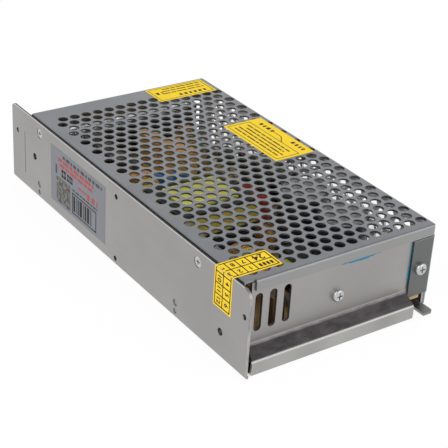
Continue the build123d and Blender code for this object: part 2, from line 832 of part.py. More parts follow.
def make_power_parts():
    """Parts between the mains terminals and the transformer, on the +Y side."""
    made = {}
    fuse_x, fuse_y = on_board(0.184, 0.898)
    fuse_z = bench + 5.4
    fuse_reach = 20.0
    tube_radius = 2.35
    tube_bore = 1.7
    cap_radius = 2.6
    start = fuse_x - fuse_reach / 2
    tube = rod((start + 0.5, fuse_y, fuse_z), (1, 0, 0), fuse_reach - 1, tube_radius)
    made["fuse_tube"] = tube - rod((start, fuse_y, fuse_z), (1, 0, 0), fuse_reach, tube_bore)
    caps = []
    clips = []
    for x, way in ((start, 1), (start + fuse_reach, -1)):
        cap = rod((x, fuse_y, fuse_z), (way, 0, 0), 5.0, cap_radius)
        caps.append(cap - rod((x + way * 0.45, fuse_y, fuse_z), (way, 0, 0), 5.0, tube_radius + 0.02))
    for x in (start, start + fuse_reach - 5.0):
        clip = slab(x + 0.7, x + 4.3, fuse_y - 3.3, fuse_y + 3.3, bench, fuse_z + 1.5)
        clip -= slab(x, x + 5, fuse_y - 2.9, fuse_y + 2.9, bench + 0.4, fuse_z + 2)
        clips.append(clip)
    made["fuse_caps"] = caps
    made["fuse_clips"] = clips
    made["inrush_thermistor"] = disc_part(*on_board(0.270, 0.903), 5.5, 4.0, True)
    films = [boxed(on_board(0.276, 0.607), 20.0, 10.0, 20.0), boxed(on_board(0.153, 0.622), 18.0, 8.0, 15.0)]
    made["line_capacitor"] = [fillet(film.edges().filter_by(Axis.Z), 0.8) for film in films]
    core, loops = ring_choke(on_board(0.184, 0.781), core_radius=8.6, bore=4.6, thick=7.0, turns=14, wire=0.9)
    made["line_choke_core"] = core
    made["line_choke_winding"] = loops
    bridge_x, bridge_y = on_board(0.434, 0.835)
    bridge = boxed((bridge_x, bridge_y), 22.0, 3.6, 18.0, 2.5)
    bridge = chamfer(bridge.edges().filter_by(Axis.Y).sort_by(Axis.Z)[-1], 2.5)
    for step in range(4):
        bridge += post(bridge_x - 8.0 + step * 5.1, bridge_y, bench, bench + 4, 0.5)
    made["bridge_rectifier"] = bridge
    bulk_height = headroom - 2.8
    bulk_radius = 11.0
    bulk_places = [on_board(along, 0.745) for along in (0.679, 0.816)]
    made["bulk_capacitors"] = [can_capacitor(x, y, bulk_radius, bulk_height) for x, y in bulk_places]
    made["snubber_capacitors"] = [
        boxed(on_board(0.515, 0.622), 18.0, 6.0, 14.0),
        boxed(on_board(0.515, 0.714), 18.0, 6.0, 14.0),
        boxed(on_board(0.908, 0.255), 8.0, 6.0, 16.0),
    ]
    return made


def make_switch_parts():
    """Switching transistors clamped to the end plate, and the driver transformer."""
    made = {}
    half_pad = 15.0
    pad_low = 11.0
    pad_high = 30.0
    pad_front = plate_inside - 0.05
    pad = slab(pad_front - 0.3, pad_front, end_screw_y - half_pad, end_screw_y + half_pad, pad_low, pad_high)
    pad_hole = rod((plate_inside - 1, end_screw_y, end_screw_z), (1, 0, 0), 2, screw_radius + 0.3)
    made["transistor_pad"] = pad - pad_hole
    back = plate_inside - 0.4
    transistor_pitch = 17.0
    places = [end_screw_y + side * transistor_pitch / 2 for side in (-1, 1)]
    made["switching_transistors"] = [device(back, y, end_screw_z + 0.2, (-1, 0, 0)) for y in places]
    front = back - 4.55
    clamp = slab(front - 1.6, front, end_screw_y - 14, end_screw_y + 14, end_screw_z - 3, end_screw_z + 3)
    clamp = fillet(clamp.edges().filter_by(Axis.X), 1.5)
    hole = rod((front - 3, end_screw_y, end_screw_z), (1, 0, 0), 5, screw_radius + screw_clearance)
    made["transistor_clamp"] = clamp - hole
    core, coil, foot = small_transformer(*on_board(0.806, 0.533), 14.0, 9.0, 15.0)
    made["driver_core"] = core
    made["driver_winding"] = coil
    made["driver_foot"] = foot
    made["safety_capacitors"] = [
        disc_part(*on_board(0.339, 0.526), 6.0, 3.4, False),
        disc_part(*on_board(0.311, 0.469), 5.0, 3.4, False),
        disc_part(*on_board(0.658, 0.586), 6.0, 3.4, True),
    ]
    return made


def make_output_parts():
    """Parts between the transformer and the output terminals, on the -Y side."""
    made = {}
    sink_x, sink_face = on_board(0.770, 0.128)
    sink_length = 50.0
    sink_sheet = 2.0
    sink_height = headroom - 7.4
    x0 = sink_x - sink_length / 2
    x1 = sink_x + sink_length / 2
    sink_top = bench + sink_height
    sink = slab(x0, x1, sink_face - sink_sheet, sink_face, bench, sink_top)
    sink += slab(x0, x1, sink_face - sink_sheet, sink_face + 4.5, sink_top - sink_sheet, sink_top)
    diode_places = (sink_x - 13.0, sink_x + 3.0)
    diode_z = bench + 11.8
    hole_z = diode_z + device_hole
    for x in diode_places:
        sink -= rod((x, sink_face - 3, hole_z), (0, 1, 0), 5, screw_radius + screw_clearance)
    made["output_heatsink"] = sink
    made["output_diodes"] = [device(x, sink_face + 0.05, diode_z, (0, 1, 0)) for x in diode_places]
    made["diode_screws"] = [pan_screw((x, sink_face + 1.4, hole_z), (0, -1, 0), 5.0) for x in diode_places]
    core, loops = ring_choke(on_board(0.378, 0.286), core_radius=9.8, bore=5.2, thick=9.0, turns=16, wire=1.1)
    made["output_choke_core"] = core
    made["output_choke_winding"] = loops
    core, loops = ring_choke(on_board(0.78, 0.3), core_radius=10.6, bore=6.0, thick=9.0, turns=18, wire=1.2)
    made["storage_choke_core"] = core
    made["storage_choke_winding"] = loops
    can_radius = 5.0
    can_height = 20.0
    places = [on_board(along, across) for along in (0.133, 0.194, 0.255) for across in (0.153, 0.296)]
    made["output_capacitors"] = [can_capacitor(x, y, can_radius, can_height) for x, y in places]
    return made


def make_small_parts():
    """Control chip, small capacitors, resistors and the indicator."""
    made = {}
    chip_x, chip_y = on_board(0.703, 0.471)
    chip = boxed((chip_x, chip_y), 19.5, 6.4, 3.4, 1.2)
    for step in range(8):
        x = chip_x - 8.75 + step * 2.5
        for y in (chip_y - 3.6, chip_y + 3.2):
            chip += slab(x, x + 1.2, y, y + 0.4, bench, bench + 3.0)
    made["control_chip"] = chip
    can_radius = 2.6
    can_height = 9.0
    can_places = [(0.888, 0.531), (0.888, 0.622), (0.342, 0.663), (0.296, 0.714)]
    cans = [can_capacitor(*on_board(*place), can_radius, can_height) for place in can_places]
    made["small_capacitors"] = cans
    resistor_places = [(0.388, 0.622), (0.388, 0.704), (0.561, 0.806), (0.561, 0.888)]
    resistor_places += [(0.878, 0.418), (0.153, 0.51)]
    resistor_radius = 2.2
    body_reach = 10.0
    leg_reach = 7.0
    axis_z = bench + resistor_radius + 0.4
    bodies = []
    for x, y in [on_board(*place) for place in resistor_places]:
        body = rod((x - body_reach / 2, y, axis_z), (1, 0, 0), body_reach, resistor_radius)
        body = fillet(body.edges(), 1.0)
        for side in (-1, 1):
            body += rod((x, y, axis_z), (side, 0, 0), leg_reach, 0.35)
            body += post(x + side * leg_reach, y, bench, axis_z + 0.3, 0.35)
        bodies.append(body)
    made["resistors"] = bodies
    lamp_y = trimmer_y + lamp_pitch
    lamp = post(trimmer_x, lamp_y, bench, bench + 4.5, lamp_radius)
    lamp = fillet(lamp.edges().sort_by(Axis.Z)[-1], lamp_radius - 0.1)
    made["indicator"] = lamp + post(trimmer_x, lamp_y, bench, bench + 0.9, lamp_radius + 0.4)
    return made


def all_pieces():
    """Every node, by name."""
    pieces = {"chassis": make_chassis(), "cover": make_cover()}
    flange, side, tab, end = make_case_screws()
    pieces["cover_flange_screws"] = flange
    pieces["cover_side_screws"] = side
    pieces["cover_tab_screw"] = tab
    pieces["end_plate_screw"] = end
    board, sheet, standoffs, screws = make_board()
    pieces["circuit_board"] = board
    pieces["insulation_sheet"] = sheet
    pieces["board_standoffs"] = standoffs
    pieces["board_screws"] = screws
    pieces["terminal_block"] = make_terminal_block()
    pieces["terminal_plates"] = make_terminal_plates()
    for number in range(ways):
        pieces[f"terminal_screw_{number + 1}"] = make_terminal_screw(number)
    pieces["terminal_cover"] = make_terminal_cover()
    pieces["trimmer_body"], pieces["trimmer_rotor"] = make_trimmer()
    pieces["selector_body"], pieces["selector_slider"] = make_selector()
    core, coil, foot, band = make_transformer()
    pieces["transformer_core"] = core
    pieces["transformer_winding"] = coil
    pieces["transformer_foot"] = foot
    pieces["transformer_tape"] = band
    pieces.update(make_power_parts())
    pieces.update(make_switch_parts())
    pieces.update(make_output_parts())
    pieces.update(make_small_parts())
    return pieces


def write_pieces(pieces):
    """One STEP file for each node; a group of separate solids goes out as one compound."""
    os.makedirs("parts", exist_ok=True)
    for name, piece in pieces.items():
        shape = Compound(children=[p for p in piece]) if isinstance(piece, list) else piece
        export_step(shape, f"parts/{name}.step")


write_pieces(all_pieces())
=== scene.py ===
import math

import bmesh
import bpy
from mathutils import Matrix, Vector


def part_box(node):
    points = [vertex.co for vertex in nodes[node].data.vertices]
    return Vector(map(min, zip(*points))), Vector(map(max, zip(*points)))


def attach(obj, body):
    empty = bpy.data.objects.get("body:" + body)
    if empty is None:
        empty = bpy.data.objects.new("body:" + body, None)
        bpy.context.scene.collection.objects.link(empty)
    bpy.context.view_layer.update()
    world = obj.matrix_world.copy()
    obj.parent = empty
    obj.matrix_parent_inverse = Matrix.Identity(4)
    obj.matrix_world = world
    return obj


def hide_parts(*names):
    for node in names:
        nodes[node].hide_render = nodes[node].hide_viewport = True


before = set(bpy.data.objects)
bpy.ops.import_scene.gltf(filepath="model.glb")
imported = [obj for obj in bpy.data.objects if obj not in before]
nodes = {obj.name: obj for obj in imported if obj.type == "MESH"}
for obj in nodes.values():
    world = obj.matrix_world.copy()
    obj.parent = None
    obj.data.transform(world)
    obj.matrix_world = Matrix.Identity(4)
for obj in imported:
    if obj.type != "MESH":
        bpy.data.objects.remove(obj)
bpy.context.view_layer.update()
MM = 0.001


# Tray: one aluminium sheet, folded to a base, the label wall, a low flange and the slotted end.
# The mill finish is left bare, with faint rolling marks. Painted light and shade: a painted highlight
# on the outer half of the wall's top edge and along the ledge's cut end, painted black shade on the
# top edge's inner half, a dark, mottled painted reflection on the sloping ledge, a slightly lighter
# strip with a painted highlight at its bend, painted shade in the corner's folds and on the tongue,
# and painted black shade inside the hole pierced by the slotted end.
def start_material(name, colour, metallic=0.0, roughness=0.5):
    """A node material and its shader."""
    made = bpy.data.materials.new(name)
    made.use_nodes = True
    made.diffuse_color = (*colour, 1.0)
    tree = made.node_tree
    shader = tree.nodes["Principled BSDF"]
    shader.inputs["Base Color"].default_value = (*colour, 1.0)
    shader.inputs["Metallic"].default_value = metallic
    shader.inputs["Roughness"].default_value = roughness
    return made, tree, shader


def coordinates(tree, stretch):
    """Object coordinates in millimetres, scaled on each axis."""
    source = tree.nodes.new("ShaderNodeTexCoord")
    mapping = tree.nodes.new("ShaderNodeMapping")
    mapping.inputs["Scale"].default_value = [value / MM for value in stretch]
    tree.links.new(source.outputs["Object"], mapping.inputs["Vector"])
    return mapping.outputs["Vector"]


def noise(tree, stretch, detail=3.0, roughness=0.55):
    """A noise pattern with so many cycles a millimetre on each axis."""
    texture = tree.nodes.new("ShaderNodeTexNoise")
    texture.inputs["Scale"].default_value = 1.0
    texture.inputs["Detail"].default_value = detail
    texture.inputs["Roughness"].default_value = roughness
    tree.links.new(coordinates(tree, stretch), texture.inputs["Vector"])
    return texture.outputs["Fac"]


def remap(tree, value, low, high, to_low, to_high):
    """Turns one range of a value into another, clamped."""
    node = tree.nodes.new("ShaderNodeMapRange")
    node.inputs["From Min"].default_value = low
    node.inputs["From Max"].default_value = high
    node.inputs["To Min"].default_value = to_low
    node.inputs["To Max"].default_value = to_high
    tree.links.new(value, node.inputs["Value"])
    return node.outputs["Result"]


def sum_up(tree, operation, first, second):
    """Two values, or a value and a number, through one Math node."""
    node = tree.nodes.new("ShaderNodeMath")
    node.operation = operation
    tree.links.new(first, node.inputs[0])
    if isinstance(second, (int, float)):
        node.inputs[1].default_value = second
    else:
        tree.links.new(second, node.inputs[1])
    return node.outputs["Value"]


def squared(tree, value):
    """A value times itself, also where it is negative."""
    return sum_up(tree, "POWER", sum_up(tree, "ABSOLUTE", value, 0), 2)


def blend_colours(tree, factor, first, second):
    """Mixes two colours; each is a tuple or an earlier node's colour."""
    node = tree.nodes.new("ShaderNodeMix")
    node.data_type = "RGBA"
    tree.links.new(factor, node.inputs["Factor"])
    for socket, colour in ((node.inputs["A"], first), (node.inputs["B"], second)):
        if isinstance(colour, tuple):
            socket.default_value = (*colour, 1.0)
        else:
            tree.links.new(colour, socket)
    return node.outputs["Result"]


def add_bump(tree, shader, value, depth_mm, strength):
    """A bump of a real depth, chained on to any earlier one."""
    bump = tree.nodes.new("ShaderNodeBump")
    bump.inputs["Strength"].default_value = strength
    bump.inputs["Distance"].default_value = depth_mm * MM
    tree.links.new(value, bump.inputs["Height"])
    if shader.inputs["Normal"].is_linked:
        tree.links.new(shader.inputs["Normal"].links[0].from_socket, bump.inputs["Normal"])
    tree.links.new(bump.outputs["Normal"], shader.inputs["Normal"])


def scaled(colour, share):
    """A colour made lighter or darker."""
    return tuple(min(1.0, channel * share) for channel in colour)


def split_axes(tree):
    """The three object coordinates in millimetres, as separate values."""
    parts = tree.nodes.new("ShaderNodeSeparateXYZ")
    tree.links.new(coordinates(tree, (1, 1, 1)), parts.inputs["Vector"])
    return parts.outputs["X"], parts.outputs["Y"], parts.outputs["Z"]


def inside(tree, limits, soft=0.05):
    """One where each value lies between its two limits, and zero elsewhere."""
    total = None
    for value, low, high in limits:
        for edge, to_low, to_high in ((low, 0, 1), (high, 1, 0)):
            if edge is None:
                continue
            step = remap(tree, value, edge - soft, edge + soft, to_low, to_high)
            total = step if total is None else sum_up(tree, "MULTIPLY", total, step)
    return total


def sheet_metal(name, colour, roughness, spangle=0.0):
    """Rolled sheet: faint streaks along the sheet, handling marks, and zinc spangle where asked."""
    made, tree, shader = start_material(name, colour, metallic=1.0, roughness=roughness)
    streaks = noise(tree, (0.010, 0.45, 0.45), detail=4.0, roughness=0.6)
    smudges = noise(tree, (0.02, 0.02, 0.02), detail=3.0)
    tone = blend_colours(
        tree, remap(tree, streaks, 0.3, 0.7, 0, 1), scaled(colour, 0.975), scaled(colour, 1.02)
    )
    tone = blend_colours(tree, remap(tree, smudges, 0.45, 0.75, 0, 0.5), tone, scaled(colour, 0.9))
    if spangle:
        cells = tree.nodes.new("ShaderNodeTexVoronoi")
        cells.inputs["Scale"].default_value = 1.0
        tree.links.new(coordinates(tree, (0.28, 0.28, 0.28)), cells.inputs["Vector"])
        split = tree.nodes.new("ShaderNodeSeparateColor")
        tree.links.new(cells.outputs["Color"], split.inputs["Color"])
        shade = remap(tree, split.outputs["Red"], 0, 1, 0, spangle)
        tone = blend_colours(tree, shade, tone, scaled(colour, 1.3))
    tree.links.new(tone, shader.inputs["Base Color"])
    worn = remap(tree, smudges, 0.25, 0.75, roughness - 0.05, roughness + 0.08)
    tree.links.new(worn, shader.inputs["Roughness"])
    add_bump(tree, shader, streaks, 0.006, 0.4)
    return made, tree, shader, tone


def dress(material, *names):
    """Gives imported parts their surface."""
    for name in names:
        surface = nodes[name].data
        surface.materials.clear()
        surface.materials.append(material)


tray_low, tray_high = [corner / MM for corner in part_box("chassis")]
WALL_FACE = tray_low.y
wall_back = WALL_FACE + 1.15
wall_top = tray_high.z
strip_face = tray_high.x
strip_top = 6.9
strip_end = WALL_FACE + 3.0
strip_stops = 36.5
slope_starts = strip_face - 7.05
slope_low, slope_high = 7.05, 10.3
fold_starts, fold_stops = 90.4, -40.0
tongue_low, tongue_high, tongue_top = 38.0, 48.0, 8.0
pierced_x, pierced_z, pierced_square = strip_face - 3.0, 26.9, 2.6
saw_depth = 0.03
# Colours of the painted highlight on the ledge's cut end, and of the painted black shade on the top
# edge and in the pierced hole.
cut_end_highlight = (0.86, 0.85, 0.84)
painted_shade_black = (0.02, 0.02, 0.02)
tray_metal, tree, shader, tone = sheet_metal("tray_metal", (0.362, 0.351, 0.344), 0.40)
x, y, z = split_axes(tree)

# Painted reflection: the sloping ledge is painted a dark, mottled grey.
slope = inside(tree, [(x, slope_starts, None), (y, wall_back, None), (z, slope_low, slope_high)], 0.1)
slope_mottle = remap(tree, noise(tree, (0.35, 0.16, 0.5), detail=5.0), 0.35, 0.65, 0, 1)
slope_painted_reflection = blend_colours(tree, slope_mottle, (0.125, 0.117, 0.121), (0.215, 0.197, 0.204))
tone = blend_colours(tree, slope, tone, slope_painted_reflection)

# Painted light: the strip is painted a slightly lighter, mottled tone than the sheet.
strip = inside(tree, [(x, strip_face - 0.12, None), (z, None, strip_top), (y, wall_back, strip_stops)])
strip_shade = remap(tree, noise(tree, (0.02, 0.03, 0.02), detail=1.0), 0.35, 0.65, 0, 1)
strip_painted_light = blend_colours(tree, strip_shade, (0.33, 0.325, 0.32), (0.44, 0.435, 0.43))
tone = blend_colours(tree, strip, tone, strip_painted_light)
# Painted highlight: a lighter band is painted along the strip's bend.
bend_highlight_limits = [(x, strip_face - 0.4, None), (z, 6.5, 7.05), (y, wall_back, strip_stops)]
tone = blend_colours(tree, inside(tree, bend_highlight_limits, 0.2), tone, (0.50, 0.49, 0.48))

# Painted shade: the folds inside the corner are painted near black.
fold_shade_limits = [(x, fold_starts, strip_face - 0.9), (y, wall_back, fold_stops), (z, None, strip_top)]
tone = blend_colours(tree, inside(tree, fold_shade_limits), tone, (0.03, 0.03, 0.03))

# Painted highlight and shade: the top edge's outer half is painted bright, its inner half black.
sawn_top = inside(tree, [(y, None, wall_back), (z, wall_top - saw_depth, None)], 0.01)
edge_highlight = inside(tree, [(y, None, WALL_FACE + 0.52)], 0.08)
top_highlight_and_shade = blend_colours(tree, edge_highlight, painted_shade_black, (0.74, 0.73, 0.71))
tone = blend_colours(tree, sawn_top, tone, top_highlight_and_shade)
sawn_end = inside(tree, [(y, None, wall_back), (x, strip_face - saw_depth, None)], 0.01)
end_shade = remap(tree, noise(tree, (0.3, 0.3, 0.12), detail=2.0), 0.35, 0.65, 0, 1)
end_tone = blend_colours(tree, end_shade, (0.27, 0.265, 0.26), (0.46, 0.455, 0.445))
tone = blend_colours(tree, sawn_end, tone, end_tone)

# Painted shade: the tongue is painted darker.
tongue_shade_limits = [(x, slope_starts, None), (y, tongue_low, tongue_high), (z, None, tongue_top)]
tone = blend_colours(tree, inside(tree, tongue_shade_limits, 0.1), tone, (0.25, 0.245, 0.24))
# Painted highlight: a bright line is painted along the ledge's cut end.
cut_highlight_limits = [(y, strip_end - 0.06, strip_end + 0.06), (x, slope_starts, None)]
tone = blend_colours(tree, inside(tree, cut_highlight_limits, 0.02), tone, cut_end_highlight)

# Painted shade: the inside of the pierced hole is painted black.
square_x = squared(tree, sum_up(tree, "SUBTRACT", x, pierced_x))
square_z = squared(tree, sum_up(tree, "SUBTRACT", z, pierced_z))
from_hole = sum_up(tree, "ADD", square_x, square_z)
pierced = inside(tree, [(from_hole, None, pierced_square), (y, WALL_FACE + 0.4, None)], 0.02)
tone = blend_colours(tree, pierced, tone, painted_shade_black)
tree.links.new(tone, shader.inputs["Base Color"])
dress(tray_metal, "chassis")


# Insulating sheet under the board, and the standoffs and screws that hold the board to the tray.
# The sheet is thin black fibre, cut to the base; the standoffs are turned, tinned brass and the
# screws are nickel-plated steel.
def moulded(name, colour, roughness, grain=1.6, depth=0.02, coat=0.0):
    """Moulded, dipped or painted parts: a fine grain and a slight change of tone."""
    made, tree, shader = start_material(name, colour, roughness=roughness)
    shader.inputs["Coat Weight"].default_value = coat
    fine = noise(tree, (grain, grain, grain), detail=3.0)
    broad = noise(tree, (0.08, 0.08, 0.08), detail=3.0)
    tone = blend_colours(
        tree, remap(tree, broad, 0.3, 0.7, 0, 1), scaled(colour, 0.86), scaled(colour, 1.14)
    )
    tree.links.new(tone, shader.inputs["Base Color"])
    worn = remap(tree, fine, 0.3, 0.7, roughness - 0.06, roughness + 0.08)
    tree.links.new(worn, shader.inputs["Roughness"])
    add_bump(tree, shader, fine, depth, 0.6)
    return made


def turned_metal(name, colour, roughness):
    """Plated or turned small metal parts."""
    made, tree, shader = start_material(name, colour, metallic=1.0, roughness=roughness)
    marks = noise(tree, (0.9, 0.9, 0.9), detail=3.0)
    tone = blend_colours(tree, remap(tree, marks, 0.35, 0.7, 0, 1), colour, scaled(colour, 0.75))
    tree.links.new(tone, shader.inputs["Base Color"])
    worn = remap(tree, marks, 0.3, 0.7, roughness - 0.06, roughness + 0.12)
    tree.links.new(worn, shader.inputs["Roughness"])
    add_bump(tree, shader, marks, 0.01, 0.4)
    return made


fibre_black = moulded("fibre_black", (0.03, 0.03, 0.034), 0.5, grain=0.6)
tinned_brass = turned_metal("tinned_brass", (0.66, 0.62, 0.50), 0.32)
nickel_plate = turned_metal("nickel_plate", (0.60, 0.605, 0.61), 0.24)
dress(fibre_black, "insulation_sheet")
dress(tinned_brass, "board_standoffs")
dress(nickel_plate, "board_screws")

# Circuit board: brown paper laminate, cut to the tray, with darker resist where tracks run.
# Four screws hold it on the standoffs, and its corner shows at the open end.
laminate_tone = (0.62, 0.43, 0.21)
laminate, tree, shader = start_material("laminate", laminate_tone, roughness=0.5)
fibres = noise(tree, (0.8, 0.25, 0.8), detail=4.0)
resist = noise(tree, (0.05, 0.05, 0.05), detail=2.0)
along_fibres = remap(tree, fibres, 0.3, 0.7, 0, 1)
tone = blend_colours(tree, along_fibres, scaled(laminate_tone, 0.82), scaled(laminate_tone, 1.12))
tone = blend_colours(tree, remap(tree, resist, 0.45, 0.6, 0, 0.6), tone, (0.30, 0.19, 0.08))
tree.links.new(tone, shader.inputs["Base Color"])
add_bump(tree, shader, fibres, 0.02, 0.5)
dress(laminate, "circuit_board")

# Terminal block: a black moulded comb with nine ways, tinned plates and captive screws, soldered
# to the board. Each screw clamps a wire under a square washer.
black_moulding = moulded("black_moulding", (0.022, 0.022, 0.025), 0.42)
dress(black_moulding, "terminal_block")
dress(tinned_brass, "terminal_plates")
ways = 9
dress(nickel_plate, *["terminal_screw_%d" % (way + 1) for way in range(ways)])

# Terminal cover: a clear polycarbonate flap, moulded with its hinge pins, slightly smoked
# and finely worn where fingers lift it. It swings on the block's two ears.
flap_tone = (0.80, 0.84, 0.86)
clear_flap, tree, shader = start_material("clear_flap", flap_tone, roughness=0.12)
shader.inputs["Transmission Weight"].default_value = 0.9
shader.inputs["IOR"].default_value = 1.58
wear = noise(tree, (0.4, 0.1, 0.4), detail=4.0)
tree.links.new(remap(tree, wear, 0.3, 0.75, 0.06, 0.24), shader.inputs["Roughness"])
tone = blend_colours(tree, remap(tree, wear, 0.3, 0.7, 0, 1), flap_tone, scaled(flap_tone, 0.94))
tree.links.new(tone, shader.inputs["Base Color"])
dress(clear_flap, "terminal_cover")

# Mains fuse and surge limiter: a ceramic tube with nickel caps in two spring clips, and a dipped
# black disc beside it on its own legs.
dress(moulded("fuse_ceramic", (0.80, 0.80, 0.77), 0.3, grain=0.7, coat=0.3), "fuse_tube")
dress(tinned_brass, "fuse_caps", "fuse_clips")
dress(moulded("dipped_black", (0.05, 0.07, 0.06), 0.5, grain=0.8, depth=0.05), "inrush_thermistor")

# Line capacitors: two film capacitors in tan moulded boxes, which are filled with resin and stand
# on the board.
dress(moulded("box_tan", (0.80, 0.46, 0.17), 0.40, grain=0.5, coat=0.2), "line_capacitor")


# Line choke: a green painted ring of powdered iron standing on the board, wound with enamelled
# copper wire whose two ends run down to the board.
def enamelled_wire(name, colour):
    """Copper wire under a clear enamel."""
    made, tree, shader = start_material(name, colour, metallic=0.6, roughness=0.26)
    shader.inputs["Coat Weight"].default_value = 0.4
    marks = noise(tree, (0.5, 0.5, 0.5), detail=3.0)
    tone = blend_colours(
        tree, remap(tree, marks, 0.3, 0.7, 0, 1), scaled(colour, 0.8), scaled(colour, 1.15)
    )
    tree.links.new(tone, shader.inputs["Base Color"])
    tree.links.new(remap(tree, marks, 0.3, 0.7, 0.2, 0.36), shader.inputs["Roughness"])
    return made


def rounded(turn):
    """Cosine and sine of a turn, pushed outwards to a loop with square shoulders."""
    pair = (math.cos(turn), math.sin(turn))
    return tuple(math.copysign(abs(value) ** SQUARENESS, value) for value in pair)


def mesh_of(name, curve):
    """The mesh that a curve or text makes, and nothing left of the curve."""
    holder = bpy.data.objects.new(name, curve)
    bpy.context.scene.collection.objects.link(holder)
    bpy.context.view_layer.update()
    mesh = bpy.data.meshes.new_from_object(holder)
    bpy.data.objects.remove(holder)
    return mesh


def add_piece(name, mesh, material):
    """A piece fixed to the case, with its one material."""
    mesh.materials.clear()
    mesh.materials.append(material)
    piece = bpy.data.objects.new(name, mesh)
    bpy.context.scene.collection.objects.link(piece)
    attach(piece, "case")
    return piece


def ring_winding(name, core, winding, wire, turns, material):
    """Round wire wound on a ring that stands across the board, with two leads down to the board."""
    core_low, core_high = [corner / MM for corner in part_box(core)]
    middle = (core_low + core_high) / 2
    outer = (core_high.x - core_low.x) / 2 + wire / 2
    half_thick = (core_high.y - core_low.y) / 2 + wire / 2
    bore = outer - wire / 2 - RING_WALLS[core]
    inner = bore - wire / 2
    steps = turns * STEPS_PER_TURN
    points = []
    for step in range(steps + 1):
        round_ring = math.radians(WINDING_STARTS + WINDING_ARC * step / steps)
        across, out = rounded(2 * math.pi * step / STEPS_PER_TURN)
        reach = (outer + inner) / 2 + (outer - inner) / 2 * out
        points.append(Vector((
            middle.x + reach * math.cos(round_ring),
            middle.y + half_thick * across,
            middle.z + reach * math.sin(round_ring),
        )))
    feet = [points[0].copy(), points[-1].copy()]
    for foot in feet:
        foot.z = BOARD_TOP + wire
    points = [feet[0], *points, feet[1]]
    curve = bpy.data.curves.new(name, "CURVE")
    curve.dimensions = "3D"
    curve.bevel_depth = wire / 2 * MM
    curve.bevel_resolution = 1
    curve.use_fill_caps = True
    spline = curve.splines.new("NURBS")
    spline.points.add(len(points) - 1)
    for control, point in zip(spline.points, points):
        control.co = (*(point * MM), 1.0)
    spline.order_u = 3
    spline.use_endpoint_u = True
    spline.resolution_u = 2
    mesh = mesh_of(name, curve)
    mesh.shade_smooth()
    piece = add_piece(name, mesh, material)
    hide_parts(winding)


BOARD_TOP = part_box("circuit_board")[1].z / MM
SQUARENESS = 0.6
STEPS_PER_TURN = 10
WINDING_STARTS = -64
WINDING_ARC = 308
RING_WALLS = {"line_choke_core": 4.0, "output_choke_core": 4.6, "storage_choke_core": 4.6}
copper = enamelled_wire("copper", (0.90, 0.40, 0.18))
dress(moulded("ring_green", (0.05, 0.26, 0.12), 0.45, grain=0.7, depth=0.05), "line_choke_core")
ring_winding("line_choke_wire", "line_choke_core", "line_choke_winding", 0.9, 14, copper)

# Bridge rectifier: a flat black moulded package on four legs. It stands on the board
# behind the voltage selector.
dress(black_moulding, "bridge_rectifier")


# Electrolytic cans: drawn aluminium cans with scored tops, in shrunk black sleeves. The two large
# ones store the mains side's charge, and six small ones smooth the output.
def sleeved_cans(name, node, sleeve, top, radius, columns, rows):
    """A sleeve that ends in a folded rim, with the can's top inside it."""
    low, high = [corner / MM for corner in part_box(node)]
    made, tree, shader = start_material(name, sleeve, roughness=0.3)
    shader.inputs["Coat Weight"].default_value = 0.2
    x, y, z = split_axes(tree)
    squares = None
    for value, start, end, count in ((x, low.x, high.x, columns), (y, low.y, high.y, rows)):
        pitch = (end - start - 2 * radius) / max(count - 1, 1)
        offset = sum_up(tree, "SUBTRACT", value, start + radius)
        if count > 1:
            wrap = tree.nodes.new("ShaderNodeMath")
            wrap.operation = "WRAP"
            wrap.inputs[1].default_value = pitch / 2
            wrap.inputs[2].default_value = -pitch / 2
            tree.links.new(offset, wrap.inputs[0])
            offset = wrap.outputs["Value"]
        square = squared(tree, offset)
        squares = square if squares is None else sum_up(tree, "ADD", squares, square)
    from_middle = sum_up(tree, "SQRT", squares, 0)
    bare = inside(tree, [(z, high.z - 1.0, None), (from_middle, None, radius - 1.3)], 0.1)
    scuffs = noise(tree, (0.6, 0.6, 0.6), detail=4.0)
    scuffed = remap(tree, scuffs, 0.3, 0.7, 0, 1)
    aluminium = blend_colours(tree, scuffed, scaled(top, 0.85), scaled(top, 1.15))
    body = blend_colours(tree, scuffed, scaled(sleeve, 0.8), scaled(sleeve, 1.2))
    tree.links.new(blend_colours(tree, bare, body, aluminium), shader.inputs["Base Color"])
    tree.links.new(sum_up(tree, "MULTIPLY", bare, 0.5), shader.inputs["Metallic"])
    tree.links.new(remap(tree, bare, 0, 1, 0.3, 0.45), shader.inputs["Roughness"])
    dress(made, node)


sleeved_cans("bulk_sleeve", "bulk_capacitors", (0.03, 0.035, 0.05), (0.36, 0.385, 0.37), 11.0, 2, 1)
sleeved_cans("output_sleeve", "output_capacitors", (0.05, 0.04, 0.035), (0.26, 0.25, 0.24), 5.0, 3, 2)
dress(moulded("small_sleeve", (0.02, 0.022, 0.03), 0.35, grain=0.3, coat=0.2), "small_capacitors")

# Voltage selector: a black moulded slide switch on the wall, with a red slider that a screwdriver
# pushes from 115 to 230 volts.
dress(black_moulding, "selector_body")
dress(moulded("slider_red", (0.55, 0.03, 0.02), 0.35, grain=0.8), "selector_slider")


# Snubber and safety capacitors: film blocks dipped in red resin, with a brown one by the slots,
# and dipped ceramic discs, two blue and one ochre, all on bent legs.
def dipped(name, node, colour, light, roughness, other_starts, other, run_depth):
    """Resin with runs; the pieces beyond other_starts along the case have the other colour."""
    made, tree, shader = start_material(name, colour, roughness=roughness)
    along = split_axes(tree)[0]
    runs = noise(tree, (0.3, 0.3, 0.3), detail=3.0)
    run_shade = remap(tree, runs, 0.3, 0.7, 0, 1)
    tone = blend_colours(tree, run_shade, scaled(colour, 0.8), scaled(colour, light))
    beyond = inside(tree, [(along, other_starts, None)])
    tree.links.new(blend_colours(tree, beyond, tone, other), shader.inputs["Base Color"])
    add_bump(tree, shader, runs, run_depth, 0.5)
    dress(made, node)


